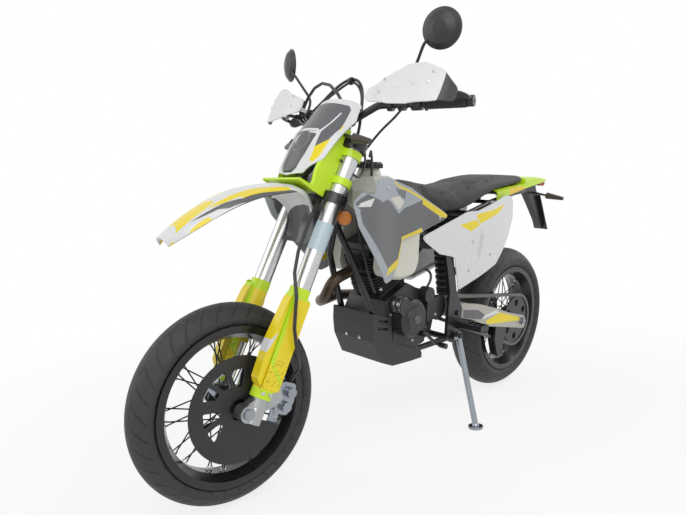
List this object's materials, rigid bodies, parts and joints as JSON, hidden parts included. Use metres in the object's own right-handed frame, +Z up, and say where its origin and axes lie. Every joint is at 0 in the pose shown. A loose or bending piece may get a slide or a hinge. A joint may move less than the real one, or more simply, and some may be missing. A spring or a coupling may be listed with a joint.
{
  "type": "supermoto motorcycle",
  "caption": "Supermoto motorcycle leaning on its side stand, with turning wheels, steering fork and folding stand.",
  "frame": {"origin": "on the ground at the middle of the footprint box", "axes": "+X towards the front wheel, +Y to the rider's left, +Z up"},
  "size_m": [2.1256, 0.8668, 1.4051],
  "materials": {
    "black_steel": "satin black frame paint",
    "engine_black": "satin black engine paint",
    "fin_metal": "black fins with machined edges",
    "header_steel": "heat-tinted steel",
    "silver": "satin silver",
    "cast_silver": "cast alloy",
    "black_alloy": "black anodised",
    "champagne": "champagne anodised",
    "disc_steel": "ground steel",
    "chain_steel": "dark oiled steel",
    "black_plastic": "grained black plastic",
    "white_plastic": "glossy white plastic",
    "grey_plastic": "glossy grey plastic",
    "lime_plastic": "fluorescent yellow-green plastic",
    "yellow_plastic": "glossy yellow plastic",
    "tank_plastic": "off-white translucent plastic",
    "seat_cover": "grained black cover",
    "tyre_rubber": "road tyre rubber",
    "hose_rubber": "black hose",
    "lamp": "clear lens over a reflector",
    "red_lens": "red lens",
    "smoked": "smoked lens"
  },
  "bodies": {
    "chassis": {"main_frame": "black_steel", "subframe": "black_steel", "crankcase": "engine_black", "cylinder": "fin_metal", "exhaust_header": "header_steel", "silencer": "black_alloy", "carburettor": "cast_silver", "airbox": "black_plastic", "fuel_tank": "tank_plastic", "fuel_cap": "black_plastic", "tank_shrouds": "grey_plastic", "side_panels": "white_plastic", "seat": "seat_cover", "rear_fender": "lime_plastic", "plate_bracket": "black_plastic", "tail_light": "red_lens", "rear_indicators": "smoked", "skid_plate": "black_plastic", "footpegs": "black_steel", "foot_levers": "black_steel", "swingarm": "champagne", "shock_absorber": "black_steel", "drive_chain": "chain_steel", "chain_guide": "black_plastic", "rear_axle": "silver", "rear_caliper": "cast_silver"},
    "steering": {"triple_clamps": "black_alloy", "fork_tubes": "silver", "fork_legs": "cast_silver", "fork_guards": "yellow_plastic", "handlebar": "black_alloy", "levers": "black_alloy", "mirrors": "black_plastic", "hand_guards": "white_plastic", "headlight_mask": "grey_plastic", "headlight": "lamp", "mask_bracket": "lime_plastic", "front_fender": "white_plastic", "front_indicators": "smoked", "front_axle": "silver", "front_caliper": "cast_silver", "disc_guard": "black_plastic", "instrument": "black_plastic", "brake_hose": "hose_rubber"},
    "front_wheel": {"front_tyre": "tyre_rubber", "front_rim": "black_alloy", "front_hub": "black_alloy", "front_brake_disc": "disc_steel"},
    "rear_wheel": {"rear_tyre": "tyre_rubber", "rear_rim": "black_alloy", "rear_hub": "black_alloy", "rear_sprocket": "chain_steel", "rear_brake_disc": "disc_steel"},
    "side_stand": {"side_stand": "silver"}
  },
  "joints": [
    {"name": "steering_turn", "type": "hinge", "parent": "chassis", "child": "steering", "pos_m": [0.42543, -0.02992, 0.84534], "axis": [-0.4464, 0.0951, 0.8898], "range_deg": [-35.7, 48.3]},
    {"name": "front_wheel_spin", "type": "hinge", "parent": "steering", "child": "front_wheel", "pos_m": [0.77297, -0.09605, 0.29062], "axis": [0.0982, 0.9935, -0.0569], "continuous": true},
    {"name": "rear_wheel_spin", "type": "hinge", "parent": "chassis", "child": "rear_wheel", "pos_m": [-0.70671, -0.08717, 0.30965], "axis": [0, 0.9943, -0.1063], "continuous": true},
    {"name": "side_stand_fold", "type": "hinge", "parent": "chassis", "child": "side_stand", "pos_m": [-0.16176, 0.06613, 0.3326], "axis": [0.0246, 0.9745, 0.2229], "range_deg": [0, 88]}
  ]
}
